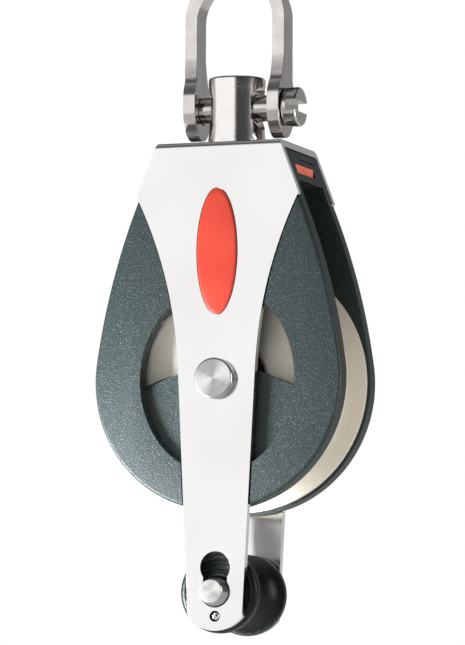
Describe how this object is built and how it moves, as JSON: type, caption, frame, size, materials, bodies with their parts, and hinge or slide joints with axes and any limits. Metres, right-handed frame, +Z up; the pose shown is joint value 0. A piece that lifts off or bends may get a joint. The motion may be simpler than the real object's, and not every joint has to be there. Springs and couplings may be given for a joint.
{
  "type": "single sheave block",
  "caption": "Pulley block: swivelling shackle head with a push lock, stainless strap, moulded cheeks, bearing sheave and a becket spool on a draw-out pin.",
  "frame": {"origin": "bearing point inside the shackle's crown, where the block hangs", "axes": "+Z up along the block, +X along the shackle pin towards its slotted head, +Y along the axle towards the back"},
  "size_m": [0.0762, 0.0386, 0.1963],
  "materials": {
    "polished_stainless": "polished",
    "glass_filled_nylon": "fine speckled moulding",
    "satin_aluminium": "satin turned",
    "black_acetal": "moulded",
    "red_moulding": "satin moulded",
    "bearing_polymer": "matt",
    "spring_steel": "plain"
  },
  "bodies": {
    "shackle": {"shackle_bow": "polished_stainless"},
    "shackle_pin": {"shackle_pin": "polished_stainless"},
    "swivel_head": {"swivel_post": "polished_stainless", "swivel_stud": "polished_stainless", "stud_lock_pin": "spring_steel"},
    "block_frame": {"strap": "polished_stainless", "front_cheek": "glass_filled_nylon", "rear_cheek": "glass_filled_nylon", "front_badge": "red_moulding", "rear_badge": "red_moulding", "swivel_washer": "bearing_polymer", "lock_detent_ball": "spring_steel", "lock_detent_spring": "spring_steel", "axle": "polished_stainless", "axle_cap": "polished_stainless", "inner_race": "polished_stainless", "becket_ball_front": "polished_stainless", "becket_ball_rear": "polished_stainless"},
    "lock_slide": {"swivel_lock_slide": "red_moulding"},
    "sheave": {"sheave": "satin_aluminium"},
    "roller_cage": {"roller_cage": "bearing_polymer", "bearing_roller_01": "bearing_polymer", "bearing_roller_02": "bearing_polymer", "bearing_roller_03": "bearing_polymer", "bearing_roller_04": "bearing_polymer", "bearing_roller_05": "bearing_polymer", "bearing_roller_06": "bearing_polymer", "bearing_roller_07": "bearing_polymer", "bearing_roller_08": "bearing_polymer", "bearing_roller_09": "bearing_polymer", "bearing_roller_10": "bearing_polymer", "bearing_roller_11": "bearing_polymer"},
    "front_ball_row": {"front_ball_ring": "bearing_polymer", "front_side_ball_1": "polished_stainless", "front_side_ball_2": "polished_stainless", "front_side_ball_3": "polished_stainless", "front_side_ball_4": "polished_stainless", "front_side_ball_5": "polished_stainless", "front_side_ball_6": "polished_stainless", "front_side_ball_7": "polished_stainless", "front_side_ball_8": "polished_stainless", "front_side_ball_9": "polished_stainless"},
    "rear_ball_row": {"rear_ball_ring": "bearing_polymer", "rear_side_ball_1": "polished_stainless", "rear_side_ball_2": "polished_stainless", "rear_side_ball_3": "polished_stainless", "rear_side_ball_4": "polished_stainless", "rear_side_ball_5": "polished_stainless", "rear_side_ball_6": "polished_stainless", "rear_side_ball_7": "polished_stainless", "rear_side_ball_8": "polished_stainless", "rear_side_ball_9": "polished_stainless"},
    "becket_spool": {"becket_spool": "black_acetal", "becket_pin_ring": "black_acetal"},
    "becket_pin": {"becket_pin": "polished_stainless"}
  },
  "joints": [
    {"name": "head_swing", "type": "hinge", "parent": "shackle", "child": "swivel_head", "pos_m": [0, 0, -0.03815], "axis": [1, 0, 0], "range_deg": [-100, 100]},
    {"name": "shackle_pin_draw", "type": "slide", "parent": "shackle", "child": "shackle_pin", "axis": [1, 0, 0], "range_m": [0, 0.027]},
    {"name": "swivel", "type": "hinge", "parent": "swivel_head", "child": "block_frame", "pos_m": [0, 0, -0.04945], "axis": [0, 0, 1], "continuous": true},
    {"name": "swivel_lock", "type": "slide", "parent": "block_frame", "child": "lock_slide", "axis": [-1, 0, 0], "range_m": [0, 0.003]},
    {"name": "sheave_spin", "type": "hinge", "parent": "block_frame", "child": "sheave", "pos_m": [0, 0, -0.11895], "axis": [0, 1, 0], "continuous": true},
    {"name": "roller_orbit", "type": "hinge", "parent": "block_frame", "child": "roller_cage", "pos_m": [0, 0, -0.11895], "axis": [0, 1, 0], "continuous": true},
    {"name": "front_ball_orbit", "type": "hinge", "parent": "block_frame", "child": "front_ball_row", "pos_m": [0, 0, -0.11895], "axis": [0, 1, 0], "continuous": true},
    {"name": "rear_ball_orbit", "type": "hinge", "parent": "block_frame", "child": "rear_ball_row", "pos_m": [0, 0, -0.11895], "axis": [0, 1, 0], "continuous": true},
    {"name": "becket_spool_spin", "type": "hinge", "parent": "block_frame", "child": "becket_spool", "pos_m": [0, 0, -0.18065], "axis": [0, 1, 0], "continuous": true},
    {"name": "becket_pin_draw", "type": "slide", "parent": "block_frame", "child": "becket_pin", "axis": [0, 1, 0], "range_m": [0, 0.038]}
  ],
  "couplings": [
    {"joint": "roller_orbit", "follows": "sheave_spin", "ratio": 0.5931},
    {"joint": "front_ball_orbit", "follows": "sheave_spin", "ratio": 0.5},
    {"joint": "rear_ball_orbit", "follows": "sheave_spin", "ratio": 0.5}
  ]
}
